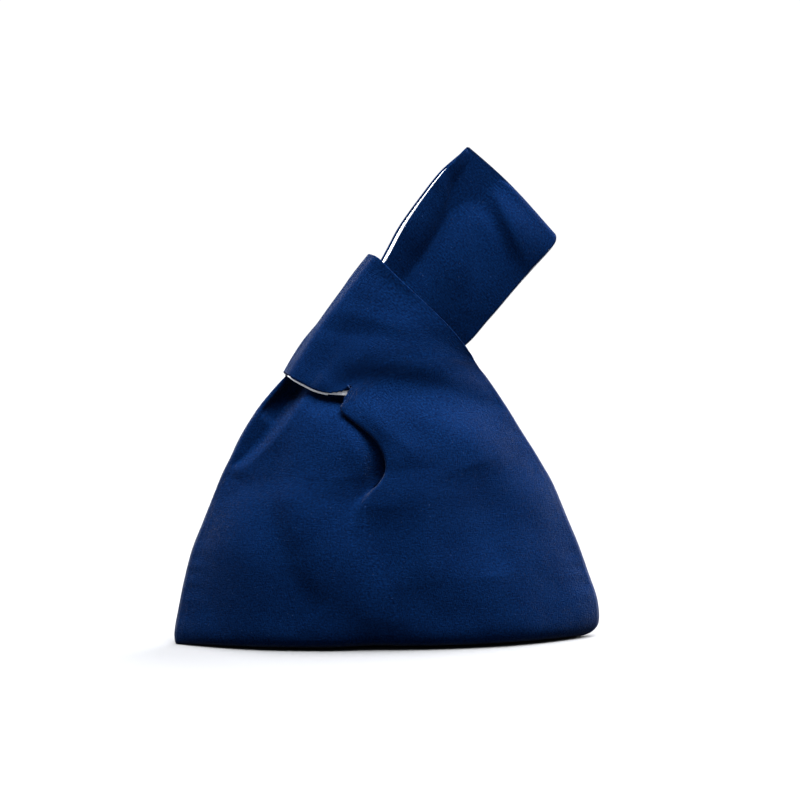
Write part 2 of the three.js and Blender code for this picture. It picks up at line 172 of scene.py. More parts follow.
# Rows of the long handle's half, from the flap to the end that stands upper right.
# out_*: the edge that starts as the left side seam; back_out: how much further left the back
# panel's outer edge lies.
LONG_ROWS = table(
    "out_x out_z out_depth in_x in_z in_depth crown bow back_in back_out lining_x lining_z steps", [
        [-92.5, 94, SEAM_DEPTH, -3, 95, 30, 9, 0, 4, 0, 0, 0, 1],
        [-88.1, 102.8, SEAM_DEPTH, 1.5, 104, 30, 8, 0, 4, 0, 0, 0, 1],
        [-83.7, 112.2, SEAM_DEPTH, 1, 112, 29, 7, 0, 3, 0, 0, 0, 1],
        [-78.7, 121, SEAM_DEPTH, -1, 118.5, 26.6, 6, 0, 3, 0, 0, 0, 1],
        [-72.5, 130.4, SEAM_DEPTH, -3.5, 123.5, 23.5, 4.8, 0, 2, 0, 0, 0, 1],
        [-65.9, 138.6, SEAM_DEPTH, -5, 128.5, 18.5, 3.2, 0, 2, 0, 0, 0, 1],
        [-57.7, 147.5, SEAM_DEPTH, -5.5, 133.5, 12, 1.5, 0, 1, 0, 0, 0, 1],
        [-50, 154.7, 2.4, -3.5, 138, 9, 0.5, 0, 0, 0, 0, 0, 2],
        [-39, 167.4, 3.6, 6, 143, 7.5, 2, 0, 0, 0, 0, 0, 2],
        [-21.8, 189, 5, 23, 152.5, 5.5, 5, 0, 0, 1.2, 0.3, -0.3, 2],
        [-2.9, 210, 7, 41.9, 164.5, 6.4, 3.2, 0, 0, 1.8, 0.3, -0.3, 2],
        [8.3, 230.4, 8.4, 56.1, 180.7, 8.8, 2.8, 0, 0, 1.1, 0.4, -0.4, 2],
        [19.3, 246.8, 8.4, 69.8, 196.3, 9, 3, 1, 0, 0.9, 0.4, -0.4, 2],
        [31, 261.6, 8.4, 82.8, 210.6, 8, 3.6, 2, 0, 0.6, 0.4, -0.4, 1],
    ])
LONG_END = dict(
    out_x=44.6, out_z=275.5, in_x=96.3, in_z=225.4, out_depth=7.5, in_depth=6.8, crown=0, bow=2,
    corner=5, back_in=0, back_out=-1, lining_x=0.4, lining_z=-0.4)

# Which row of a handle's half its lining starts on, and how many rows of the cloth grid later
LONG_LINING_FROM = 9
SHORT_LINING_FROM = 8
LINING_DELAY = 2

# Folds, listed one by one. A fold runs on a bent line from (x1, z1) through (x2, z2) to (x3, z3).
# rise: its height, below zero for a valley; wide_left, wide_right: its reach to the left and the
# right of a line that runs down, or below and above one that runs from left to right; crisp: 2 for
# a round fold, less for a sharper one, more for one with a flat middle and steep sides.
# FOLD_END_EASE: under 1, a fold keeps its height nearer to its ends.
FOLD_NAMES = "x1 z1 x2 z2 x3 z3 rise wide_left wide_right crisp"
FOLD_SAMPLES = 97
FOLD_END_EASE = 0.7

# Folds fade out over FOLD_SEAM_FADE of depth beside a seam. The folds of one half of a panel also
# fade out over FOOT_FADE down to FOOT_HEIGHT, below which the two halves are one cloth.
FOLD_SEAM_FADE = 4
FOOT_HEIGHT = 82
FOOT_FADE = 12

FRONT_FOLDS = {
    "pit": table(FOLD_NAMES, [
        # the deepest part of the pit below, pushed into the bag past the seam's plane
        [-36, 166, -55, 139, -68, 124, -9, 6, 4.5, 3],
    ]),
    "left": table(FOLD_NAMES, [
        # pit from under the band down along the left side seam, and the ridge that laps it
        [-35, 169, -60.5, 131.5, -87, 101, -13, 12, 5, 4],
        [-40, 152, -62, 124.5, -86, 92, 5.5, 2.2, 17, 1.6],
        [-45, 132, -35, 98, -38, 56, 2.2, 10, 10, 2],
        # hollow under the band's free edge, and a broad shallow one across the left of the body
        [-42, 140, -30, 135, -20, 126, -3.5, 3.5, 6, 2],
        [-74, 84, -60, 82, -44, 86, -1.8, 26, 18, 2],
        # inner fold of the pocket behind the flap, and the hollow beside it
        [-32, 122, -20.5, 106, -21, 78, 2.4, 9, 5, 1.8],
        [-30, 130, -12.5, 108, -11, 84, -3.2, 6, 7, 2],
        # long handle: valley beside the left edge and the swell that bounds it
        [52, 284, 29, 230, -2, 190, -8.5, 10, 11, 1.3],
        [46, 244, 32, 218, 10, 178, 1, 6, 10, 2],
        # hollow under the top corner, and the crease beside it
        [32, 247, 50, 252, 66, 261, -5, 14, 11, 2],
        [52, 258, 49, 222, 43, 186, -2.2, 4.5, 8, 2],
        [50, 254, 59, 232, 68, 208, -1.8, 4, 3, 2],
        [56, 258, 65.5, 233, 79, 207, 3, 3, 11, 1.6],
    ]),
    "right": table(FOLD_NAMES, [
        # puffed edge of the flap
        [-24, 134, -8, 121, 2, 98, 1.5, 5, 8, 2],
        # trough from the flap's upper corner across the band, and the ridge below it
        [-36, 141, 12, 142.5, 64, 125, -7, 15, 9, 2],
        [-28, 132, 2, 129, 34, 122, 0.8, 8, 7, 2],
        # band: hollow below its upper edge, a slack crease and the swell above it
        [-18, 212, 0, 198, 16, 186, -1.6, 8, 6, 2],
        [-42, 178, -22, 171, 12, 172, -0.9, 4, 5, 1.8],
        [-38, 185, -14, 181, 20, 169, 0.9, 5, 6, 2],
        # swell along its free edge
        [-60, 150, -44, 145, -26, 142, 1.6, 6, 9, 2],
    ]),
    "both": table(FOLD_NAMES, [
        # long bent hollow down the left of the body
        [-54, 132, -69, 77, -44, 20, -5, 16, 8, 2],
        # short crease beside the flap
        [-14, 124, 2, 113, 14, 99, 0.8, 4, 6, 1.8],
        # soft swell and hollows in the middle of the body
        [12, 98, 14, 64, 17, 34, 1.5, 8, 9, 2],
        [-10, 78, -9, 58, -6, 36, -1.8, 9, 9, 2],
        [44, 100, 50, 73, 54, 40, -3, 15, 14, 2],
    ]),
}
BACK_FOLDS = {
    "pit": [],
    "left": table(FOLD_NAMES, [
        [-40, 160, -62, 131, -82, 104, 2.5, 9, 9, 2],
        [-40, 152, -58, 122, -84, 88, 4.5, 3.5, 16, 1.6],
        [-28, 122, -15, 106, -14, 84, 2.5, 9, 2.5, 1.6],
        [-20, 118, -9, 104, -10, 88, -2.5, 3, 8, 2],
        [48, 266, 24, 230, 4, 198, -4, 5, 6, 1.8],
        [58, 252, 68, 232, 78, 206, -2.4, 4, 3.5, 1.6],
        [46, 268, 42, 250, 44, 232, -1.8, 8, 8, 2],
    ]),
    "right": table(FOLD_NAMES, [
        [-20, 134, -6, 120, 4, 98, 1.5, 6, 9, 2],
        [-40, 151, -8, 148, 40, 150, -3.2, 5, 8, 1.8],
        [-24, 140, 16, 131, 60, 112, 2.4, 9, 6, 2],
        [-38, 176, -16, 172, 14, 178, -1.4, 5, 5, 2],
    ]),
    "both": table(FOLD_NAMES, [
        [-52, 112, -62, 84, -70, 46, -3, 9, 9, 2],
        [20, 104, 30, 74, 54, 38, -2.4, 13, 13, 2],
        [-24, 78, -18, 52, -28, 22, -1.8, 12, 12, 2],
        [-4, 100, 4, 70, 2, 36, 1.4, 9, 9, 2],
    ]),
}

# Places where the rows meet too sharply and the cloth is relaxed. wide, high: their reach;
# softness: 1 for the most
SOFT_SPOTS = table("x z wide high softness", [
    [-12, 15, 14, 26, 1],
    [-22, 45, 14, 26, 1],
    [-30, 67, 9, 9, 0.7],
    [-62, 90, 30, 16, 1],
    [-50, 112, 30, 14, 0.5],
    [44, 148, 20, 20, 1],
    [8, 157, 18, 9, 0.8],
    [-80, 90, 18, 14, 1],
    [48, 95, 34, 14, 0.8],
])
EVEN_SOFTNESS = 0.02
RELAX_SHARE = 0.5
RELAX_PASSES = 140

# Ripples: fine unevenness of the cloth, as sums of waves
RIPPLES = table("waves shortest longest height", [
    [26, 34, 90, 0.5],
    [30, 12, 30, 0.06],
])

# Ripples and puckers fade out beside a seam and just above the floor
RIPPLE_SEAM_FADE = 5
RIPPLE_FLOOR_GAP = 0.5
RIPPLE_FLOOR_FADE = 8

# Puckers beside the seams: one wave up the cloth, which sways and swells. The waves are in radians
# a millimetre.
PUCKER_HEIGHT = 0.35
PUCKER_REACH = 9.0
PUCKER_WAVE = 0.52
PUCKER_SWAY = 1.7
PUCKER_SWAY_WAVE = 0.11
PUCKER_SWELL_WAVE = 0.07

# Weave. The scales are how often a pattern varies in a metre of flat cloth; the ranges are the
# low and high ends that a value is mapped from, each with what it becomes.
SWAY_SCALE = 160
SWAY_THREADS = 2.2
THREAD_RISE = ((-1, 0.3), (1, 1))
SLUB_ALONG_SCALE = 350
SLUB_ACROSS_SCALE = 1500
CLOUD_SCALE = 45
GRAIN_SCALE = 1050
GRAIN_MIDDLE = 0.35
LINT_SCALE = 900
LINT_ROUGHNESS = 0.7
LINT_RANGE = ((0.72, 0), (0.8, 1))
LINT_SHARE = 0.6
CRUMPLE_SCALE = 70
CRUMPLE_ROUGHNESS = 0.55
SHADE_OF = {"slubs": 0.5, "clouds": 0.4, "grain": 1.6, "weave": 0.15}
SHADE_RANGE = ((0.72, 0), (1.42, 1))
ROUGHNESS_RANGE = ((0.8, 0.92), (1.6, 0.74))

# Materials. pitch: threads lie this far apart, in metres; mottle: how strongly the dye and the
# threads vary; crumple, slub, weave: heights of the bumps, in metres.
CANVAS = dict(
    pitch=0.00045, mottle=0.85, crumple=0.0001, slub=0.0003, weave=0.00012,
    dark=(0.0001, 0.0015, 0.0086, 1), middle=(0.0002, 0.0032, 0.017, 1),
    light=(0.0006, 0.0065, 0.029, 1), lint=(0.018, 0.032, 0.072, 1),
    specular=0.006, sheen=0.035, sheen_roughness=0.2, sheen_tint=(0.75, 0.82, 1, 1))
LINING = dict(
    pitch=0.0004, mottle=0.5, crumple=0.0003, slub=0.00005, weave=0.00006,
    dark=(0.36, 0.37, 0.4, 1), middle=(0.43, 0.44, 0.47, 1),
    light=(0.5, 0.51, 0.54, 1), lint=(0.52, 0.52, 0.55, 1),
    specular=0.3, sheen=0.1, sheen_roughness=0.5, sheen_tint=(1, 1, 1, 1))

# The pieces of each side: the solid that each stands for.
# SEEDS: where each side's random ripples start from
SEEDS = {"front": 11, "back": 23}
SOLIDS = {"canvas": "outer", "long": "lining_long", "short": "lining_short"}


def straight(a, b, t):
    return a + (b - a) * t


def row_shares(row, inset, columns):
    """Where the columns cross a row. On a handle the lining begins after EDGE_COLUMNS of them."""
    length = math.hypot(row["in_x"] - row["out_x"], row["in_z"] - row["out_z"])
    second = inset / length if row["out_depth"] > SEAM_DEPTH else SEAM_SHARE
    edge = np.linspace(0, second, EDGE_COLUMNS + 1)[:-1]
    rest = np.linspace(0, 1, columns - EDGE_COLUMNS + 1) ** COLUMN_EASE
    return np.concatenate([edge, straight(second, 1, rest)])


def across_row(row, shares, towards_end):
    """Points of a row as x, depth and z. A share of 0 is its outer edge, and 1 its inner one."""
    chord_x = row["in_x"] - row["out_x"]
    chord_z = row["in_z"] - row["out_z"]
    rise = 1 - (1 - shares) ** ROW_ROUNDNESS
    bump = np.sin(np.pi * shares)
    bow = row["bow"] * bump * towards_end / math.hypot(chord_x, chord_z)
    return np.stack([
        row["out_x"] + chord_x * shares + chord_z * bow,
        straight(row["out_depth"], row["in_depth"], rise) + row["crown"] * bump,
        row["out_z"] + chord_z * shares - chord_x * bow,
    ], axis=1)


def left_row(row):
    return across_row(row, row_shares(row, LONG_LINING_INSET, LEFT_COLUMNS), -1)


def right_row(row):
    """The right half of a row, to the flap's crease and on round its turned strip."""
    turn = math.radians(row["turn"])
    radius = TURN_RADIUS * row["strip"]
    width = TURNED_STRIP * row["strip"]
    arc = radius * turn
    if turn < math.pi / 2:
        reach = radius * math.sin(turn) + (width - arc) * math.cos(turn)
    else:
        reach = radius
    chord = np.array([row["in_x"] - row["out_x"], row["in_z"] - row["out_z"]])
    slope = math.pi * row["bow"] / np.hypot(*chord)
    inward = chord + np.array([-chord[1], chord[0]]) * slope
    inward /= np.hypot(*inward)
    crest = dict(row, in_x=row["in_x"] - inward[0] * reach, in_z=row["in_z"] - inward[1] * reach)
    main = across_row(crest, row_shares(crest, SHORT_LINING_INSET, RIGHT_COLUMNS), 1)
    across = np.linspace(0, width, TURN_COLUMNS + 1)[1:]
    bent = np.minimum(across, arc)
    angle = bent / radius
    forward = radius * np.sin(angle) + (across - bent) * np.cos(angle)
    inside = radius * (1 - np.cos(angle)) + (across - bent) * np.sin(angle)
    strip = np.stack([
        crest["in_x"] + inward[0] * forward,
        crest["in_depth"] - inside,
        crest["in_z"] + inward[1] * forward,
    ], axis=1)
    return np.concatenate([main, strip])


def end_rows(end, radius, last_row):
    """The rows that round a handle's end, from its full depth down to the seam."""
    back = np.array([
        last_row["out_x"] + last_row["in_x"] - end["out_x"] - end["in_x"],
        last_row["out_z"] + last_row["in_z"] - end["out_z"] - end["in_z"],
    ])
    back /= np.hypot(*back)
    length = math.hypot(end["out_x"] - end["in_x"], end["out_z"] - end["in_z"])
    rows = []
    for degrees in END_TURNS:
        angle = math.radians(degrees)
        distance = radius * (1 - math.cos(angle))
        cut = end["corner"] * (1 - math.sin(angle)) / length
        rows.append(dict(
            end,
            out_x=end["out_x"] + back[0] * distance,
            out_z=end["out_z"] + back[1] * distance,
            out_depth=max(SEAM_DEPTH, end["out_depth"] * math.sin(angle)),
            in_x=straight(end["in_x"], end["out_x"], cut) + back[0] * distance,
            in_z=straight(end["in_z"], end["out_z"], cut) + back[1] * distance,
            in_depth=max(SEAM_DEPTH, end["in_depth"] * math.sin(angle)),
            steps=1,
        ))
    return rows


def skin(rows, steps):
    """Runs a centripetal Catmull-Rom curve up each column, and returns the grid of its points."""
    rows = np.array(rows)
    padded = np.concatenate([[2 * rows[0] - rows[1]], rows, [2 * rows[-1] - rows[-2]]])
    gaps = np.sqrt(np.linalg.norm(np.diff(padded, axis=0), axis=2, keepdims=True))
    grid = []
    for row in range(len(rows) - 1):
        p0, p1, p2, p3 = padded[row:row + 4]
        middle = np.where(gaps[row + 1] < SAME_PLACE, 1.0, gaps[row + 1])
        before = np.where(gaps[row] < SAME_PLACE, middle, gaps[row])
        after = np.where(gaps[row + 2] < SAME_PLACE, middle, gaps[row + 2])
        start = (p1 - p0) / before - (p2 - p0) / (before + middle) + (p2 - p1) / middle
        end = (p2 - p1) / middle - (p3 - p1) / (middle + after) + (p3 - p2) / after
        start, end = start * middle, end * middle
        for t in np.arange(steps[row] * ROW_CELLS) / (steps[row] * ROW_CELLS):
            grid.append(
                p1 + start * t + (3 * (p2 - p1) - 2 * start - end) * t ** 2
                + (2 * (p1 - p2) + start + end) * t ** 3)
    grid.append(rows[-1])
    return np.array(grid)


def fold_height(fold, x, z):
    """The height that a fold adds at each place: it fades to both sides and both ends."""
    t = np.linspace(0, 1, FOLD_SAMPLES)
    bend_x = 2 * fold["x2"] - (fold["x1"] + fold["x3"]) / 2
    bend_z = 2 * fold["z2"] - (fold["z1"] + fold["z3"]) / 2
    first_x, first_z = bend_x - fold["x1"], bend_z - fold["z1"]
    second_x, second_z = fold["x3"] - bend_x, fold["z3"] - bend_z
    line_x = fold["x1"] + first_x * (2 * t - t ** 2) + second_x * t ** 2
    line_z = fold["z1"] + first_z * (2 * t - t ** 2) + second_z * t ** 2
    along_x, along_z = straight(first_x, second_x, t), straight(first_z, second_z, t)
    away_x = x.reshape(-1, 1) - line_x
    away_z = z.reshape(-1, 1) - line_z
    distance = np.hypot(away_x, away_z)
    near = distance.argmin(axis=1)
    each = np.arange(len(near))
    side = along_x[near] * away_z[each, near] - along_z[near] * away_x[each, near]
    reach = np.where(side < 0, fold["wide_left"], fold["wide_right"])
    fade = np.sin(np.pi * t[near]).clip(0, 1) ** FOLD_END_EASE
    height = fold["rise"] * fade * np.exp(-(distance[each, near] / reach) ** fold["crisp"])
    return height.reshape(x.shape)


def folded(points, own_folds, shared_folds, pits):
    """Points with folds added to their depth. They fade out towards a seam, and the folds that
    belong to one half fade out down to the foot of the flap. Only a pit passes the seam's plane."""
    x, depth, z = points.T
    above_foot = np.clip((z - FOOT_HEIGHT) / FOOT_FADE, 0, 1)
    own = sum(fold_height(fold, x, z) for fold in own_folds) * above_foot
    shared = sum(fold_height(fold, x, z) for fold in shared_folds)
    fade = np.clip((depth - SEAM_DEPTH) / FOLD_SEAM_FADE, 0, 1)
    result = points.copy()
    result[:, 1] = np.maximum(depth + (own + shared) * fade, np.minimum(depth, LEAST_DEPTH))
    for pit in pits:
        result[:, 1] += fold_height(pit, x, z) * fade
    return result


def neighbours_of(left_numbers, right_numbers):
    """The four neighbours of each point. Past an edge, a point is its own neighbour."""
    size = max(left_numbers.max(), right_numbers.max()) + 1
    near = np.repeat(np.arange(size)[:, None], 4, axis=1)
    for numbers, inner, outer in ((left_numbers, 2, 3), (right_numbers, 3, 2)):
        near[numbers[1:], 0] = numbers[:-1]
        near[numbers[:-1], 1] = numbers[1:]
        near[numbers[:, 1:], inner] = numbers[:, :-1]
        near[numbers[:, :-1], outer] = numbers[:, 1:]
    return near


def relaxed(points, near):
    """Points drawn towards the middle of their neighbours, most in the soft spots."""
    softness = np.full(len(points), EVEN_SOFTNESS)
    for spot in SOFT_SPOTS:
        across = (points[:, 0] - spot["x"]) / spot["wide"]
        up = (points[:, 2] - spot["z"]) / spot["high"]
        softness += spot["softness"] * np.exp(-across ** 2 - up ** 2)
    on_edge = (near == np.arange(len(points))[:, None]).any(axis=1)
    softness[on_edge] = 0
    share = RELAX_SHARE * softness.clip(0, 1)[:, None]
    for _ in range(RELAX_PASSES):
        points = points + (points[near].mean(axis=1) - points) * share
    return points


def count(rows):
    return sum(row["steps"] for row in rows) * ROW_CELLS


def panel_grids(back):
    """The two halves of a panel before it is folded: the left one runs into the long handle, the
    right one into the short. Up to the foot of the flap they share their inner column."""
    def swayed(row):
        if not back:
            return row
        return dict(row, in_x=row["in_x"] + row["back_in"], out_x=row["out_x"] - row.get("back_out", 0))

    body = [dict(
        out_z=row["z"], out_depth=SEAM_DEPTH, in_x=row["mid"], in_z=row["z"], in_depth=row["depth"],
        crown=0, bow=0, turn=row["turn"], strip=row["strip"], back_in=row["back_in"],
        steps=row["steps"],
    ) for row in BODY_ROWS]
    short = SHORT_ROWS + end_rows(SHORT_END, SHORT_END_RADIUS, SHORT_ROWS[-1])
    long = LONG_ROWS + end_rows(LONG_END, LONG_END_RADIUS, LONG_ROWS[-1])
    right_body = [
        right_row(swayed(dict(row, out_x=whole["right"]))) for row, whole in zip(body, BODY_ROWS)]
    left_body = []
    for row, whole, right in zip(body, BODY_ROWS, right_body):
        x, depth, z = right[-1]
        left_body.append(left_row(dict(
            row, out_x=whole["left"], in_x=x, in_depth=depth, in_z=z, crown=whole["crown"])))
    right = skin(
        right_body + [right_row(swayed(row)) for row in short],
        [row["steps"] for row in body + short])
    left = skin(
        left_body + [left_row(swayed(row)) for row in long],
        [row["steps"] for row in body + long])
    foot = count(body[:-1])
    shared = (left[:foot + 1, -1] + right[:foot + 1, -1]) / 2
    left[:foot + 1, -1] = right[:foot + 1, -1] = shared
    for grid in (left, right):
        grid[:, :, 1] = np.maximum(grid[:, :, 1], SEAM_DEPTH)
        grid[:, :, 2] = np.maximum(grid[:, :, 2], 0)
    return left, right, foot, count(body)


def cells_of(numbers, flip):
    """The four-sided cells of a grid of point numbers."""
    cells = np.stack([
        numbers[:-1, :-1], numbers[:-1, 1:], numbers[1:, 1:], numbers[1:, :-1],
    ], axis=2).reshape(-1, 4)
    return cells[:, ::-1] if flip else cells


def directions(points, cells):
    """The outward direction at each point of a sheet."""
    cross = np.cross(
        points[cells[:, 2]] - points[cells[:, 0]], points[cells[:, 3]] - points[cells[:, 1]])
    sums = np.zeros_like(points)
    for corner in range(4):
        np.add.at(sums, cells[:, corner], cross)
    return sums / np.maximum(np.linalg.norm(sums, axis=1, keepdims=True), TINY)


def lengths_along(grid, axis):
    """How far each point of a grid lies along its row or column, over the cloth."""
    steps = np.linalg.norm(np.diff(grid, axis=axis), axis=2)
    sums = np.cumsum(steps, axis=axis)
    return np.concatenate([np.zeros_like(np.take(sums, [0], axis=axis)), sums], axis=axis)


def cloth_places(left, right, foot):
    """Where each point lies on the flat cloth: across from the shared column, and up from the
    base. Up to the foot of the flap both halves are one cloth, so their rows lie level."""
    heights = [lengths_along(grid, 0).mean(axis=1) for grid in (left, right)]
    level = (heights[0][:foot + 1] + heights[1][:foot + 1]) / 2
    places = []
    for grid, height, sign in ((left, heights[0], -1), (right, heights[1], 1)):
        across = lengths_along(grid[:, ::-1], 1)[:, ::-1] * sign
        up = np.concatenate([level, level[-1] + height[foot + 1:] - height[foot]])
        places.append(np.stack([across, np.broadcast_to(up[:, None], across.shape)], axis=2))
    return places


def ripples(places, seed):
    """Fine unevenness over the flat cloth: sums of waves of random length, direction and phase."""
    rng = np.random.RandomState(seed)
    height = np.zeros(len(places))
    for row in RIPPLES:
        for _ in range(row["waves"]):
            length = rng.uniform(row["shortest"], row["longest"])
            angle = rng.uniform(0, math.pi)
            phase = rng.uniform(0, 2 * math.pi)
            along = places @ np.array([math.cos(angle), math.sin(angle)])
            height += row["height"] / math.sqrt(row["waves"] / 2) * np.sin(
                2 * math.pi * along / length + phase)
    return height


def uneven(points, outward, places, seed):
    """Points moved along their directions by ripples and by puckers beside the seams."""
    depth = points[:, 1]
    near_seam = np.exp(-((depth - SEAM_DEPTH) / PUCKER_REACH) ** 2)
    fade = np.clip((depth - SEAM_DEPTH) / RIPPLE_SEAM_FADE, 0, 1)
    off_floor = np.clip((points[:, 2] - RIPPLE_FLOOR_GAP) / RIPPLE_FLOOR_FADE, 0, 1)
    up = places[:, 1]
    pucker = np.sin(up * PUCKER_WAVE + PUCKER_SWAY * np.sin(up * PUCKER_SWAY_WAVE + seed))
    pucker *= 0.5 + 0.5 * np.sin(up * PUCKER_SWELL_WAVE + 2 * seed)
    height = ripples(places, seed) + PUCKER_HEIGHT * pucker * near_seam
    moved = points + outward * (height * fade * off_floor)[:, None]
    moved[:, 1] = np.maximum(moved[:, 1], np.minimum(depth, LEAST_DEPTH))
    return moved


def inside(points, outward, distance):
    """Points moved into the cloth. Points on a sewn edge slide in the seam plane."""
    normal = outward.copy()
    length = np.full(len(points), 1.0) * distance
    sewn = np.abs(points[:, 1] - SEAM_DEPTH) < SAME_DEPTH
    normal[sewn, 1] = 0
    size = np.linalg.norm(normal[sewn], axis=1)
    length[sewn] /= np.maximum(size, LEAST_SLANT)
    normal[sewn] /= np.maximum(size, SAME_DEPTH)[:, None]
    moved = points - normal * length[:, None]
    in_pit = points[:, 1] < SEAM_DEPTH - SAME_DEPTH
    moved[:, 1] = np.maximum(moved[:, 1], np.where(in_pit, points[:, 1] - length, SEAM_DEPTH))
    return moved


def rim_of(cells):
    """The directed edges that only one cell has."""
    edges = np.concatenate([cells[:, [corner, (corner + 1) % 4]] for corner in range(4)])
    size = cells.max() + 1
    lone = ~np.isin(edges[:, 1] * size + edges[:, 0], edges[:, 0] * size + edges[:, 1])
    return edges[lone]


def sheet_mesh(name, sheet, top, thickness, back, material):
    """A closed sheet of cloth with a rounded rim, on its own side of the seam plane. The sheet is
    its points, cells, outward directions and places on the flat cloth."""
    points, cells, outward, places = sheet
    used, cells = np.unique(cells, return_inverse=True)
    cells = cells.reshape(-1, 4)
    points, outward, places = points[used], outward[used], places[used]
    thick = thickness[used]
    size = len(points)
    outer = inside(points, outward, top)
    inner = inside(points, outward, top + thick)
    rim = rim_of(cells)
    along = points[rim[:, 1]] - points[rim[:, 0]]
    away = np.zeros_like(points)
    for corner in range(2):
        np.add.at(away, rim[:, corner], np.cross(along, outward[rim[:, corner]]))
    away /= np.maximum(np.linalg.norm(away, axis=1, keepdims=True), TINY)
    away[points[:, 1] < SEAM_DEPTH + RIM_FROM_SEAM] = 0
    ring = np.unique(rim)
    ring_number = np.full(size, -1)
    ring_number[ring] = 2 * size + np.arange(len(ring))
    edge = ((outer + inner) / 2 + away * (RIM_BULGE * thick)[:, None])[ring]
    vertices = np.concatenate([outer, inner, edge])
    start, end = rim[:, 0], rim[:, 1]
    faces = np.concatenate([
        cells,
        cells[:, ::-1] + size,
        np.stack([end, start, ring_number[start], ring_number[end]], axis=1),
        np.stack([ring_number[end], ring_number[start], start + size, end + size], axis=1),
    ])
    if not back:
        vertices = vertices * np.array([1, -1, 1])
        faces = faces[:, ::-1]
    mesh = bpy.data.meshes.new(name)
    mesh.from_pydata((vertices * METRES).tolist(), [], faces.tolist())
    mesh.polygons.foreach_set("use_smooth", np.ones(len(faces), dtype=bool))
    corners = np.zeros(len(mesh.loops), dtype=np.int32)
    mesh.loops.foreach_get("vertex_index", corners)
    all_places = np.concatenate([places, places, places[ring]]) * METRES
    mesh.uv_layers.new(name="cloth").data.foreach_set("uv", all_places[corners].ravel())
    mesh.materials.append(material)
    piece = bpy.data.objects.new(name, mesh)
    bpy.context.scene.collection.objects.link(piece)
    return piece


def lining_sheet(canvas, numbers, first_row, rows, end, flip):
    """The part of a handle that its lining backs, from the given row of the cloth grid to just
    short of the end's seam, with a few columns more that reach past the canvas's inner edge."""
    points, _, _, places = canvas
    kept = numbers[first_row:-ROW_CELLS, EDGE_COLUMNS:]
    marks = np.cumsum([0] + [row["steps"] * ROW_CELLS for row in rows])
    where = np.arange(len(kept)) + LINING_DELAY
    shown = rows + [end]
    past = np.stack([
        np.interp(where, marks, [row["lining_x"] for row in shown]),
        np.zeros(len(kept)),
        np.interp(where, marks, [row["lining_z"] for row in shown]),
    ], axis=1)
    grid = points[kept]
    flat = places[kept]
    beyond = np.linspace(0, 1, PAST_COLUMNS + 1)[1:]
    grid = np.concatenate([grid, grid[:, -1:] + past[:, None] * beyond[None, :, None]], axis=1)
    width = np.linalg.norm(past, axis=1)[:, None] * beyond
    step = np.sign(flat[:, -1, 0] - flat[:, -2, 0])[:, None]
    more = np.stack([
        flat[:, -1:, 0] + step * width, np.broadcast_to(flat[:, -1:, 1], width.shape)], axis=2)
    flat = np.concatenate([flat, more], axis=1)
    own_numbers = np.arange(grid.shape[0] * grid.shape[1]).reshape(grid.shape[:2])
    cells = cells_of(own_numbers, flip)
    grid = grid.reshape(-1, 3)
    outward = directions(grid, cells)
    outward[own_numbers[:ROW_CELLS]] = outward[own_numbers[ROW_CELLS]]
    return grid, cells, outward, flat.reshape(-1, 2)


def build_panel(side, seed, materials):
    """The canvas panel and the two handle linings of one side."""
    back = side == "back"
    left, right, foot, body_count = panel_grids(back)
    left_places, right_places = cloth_places(left, right, foot)
    left_numbers = np.arange(left[..., 0].size).reshape(left.shape[:2])
    right_numbers = left_numbers.size + np.arange(right[..., 0].size).reshape(right.shape[:2])
    right_numbers[:foot + 1, -1] = left_numbers[:foot + 1, -1]
    points = np.concatenate([left.reshape(-1, 3), right.reshape(-1, 3)])
    places = np.concatenate([left_places.reshape(-1, 2), right_places.reshape(-1, 2)])
    cells = np.concatenate([cells_of(left_numbers, True), cells_of(right_numbers, False)])
    near = neighbours_of(left_numbers, right_numbers)
    points = relaxed(points, near)
    folds = BACK_FOLDS if back else FRONT_FOLDS
    split = left_numbers.size
    points = np.concatenate([
        folded(points[:split], folds["left"], folds["both"], folds["pit"]),
        folded(points[split:], folds["right"], folds["both"], []),
    ])
    points = uneven(points, directions(points, cells), places, seed)
    outward = directions(points, cells)
    taper = np.clip((points[:, 1] - SEAM_DEPTH) / SEAM_TAPER, 0, 1)
    canvas = (points, cells, outward, places)
    pieces = {"canvas": sheet_mesh(
        f"canvas_{side}", canvas, 0, straight(SEAM_EDGE_THICKNESS, CANVAS_THICKNESS, taper),
        back, materials["canvas"])}
    for handle, numbers, rows, first, end, flip in (
        ("long", left_numbers, LONG_ROWS, LONG_LINING_FROM, LONG_END, True),
        ("short", right_numbers, SHORT_ROWS, SHORT_LINING_FROM, SHORT_END, False),
    ):
        start = body_count + count(rows[:first]) + LINING_DELAY
        lining = lining_sheet(canvas, numbers, start, rows[first:], end, flip)
        pieces[handle] = sheet_mesh(
            f"cloth_lining_{handle}_{side}", lining, CANVAS_THICKNESS + LINING_GAP,
            np.full(len(lining[0]), LINING_THICKNESS), back, materials["lining"])
    return pieces


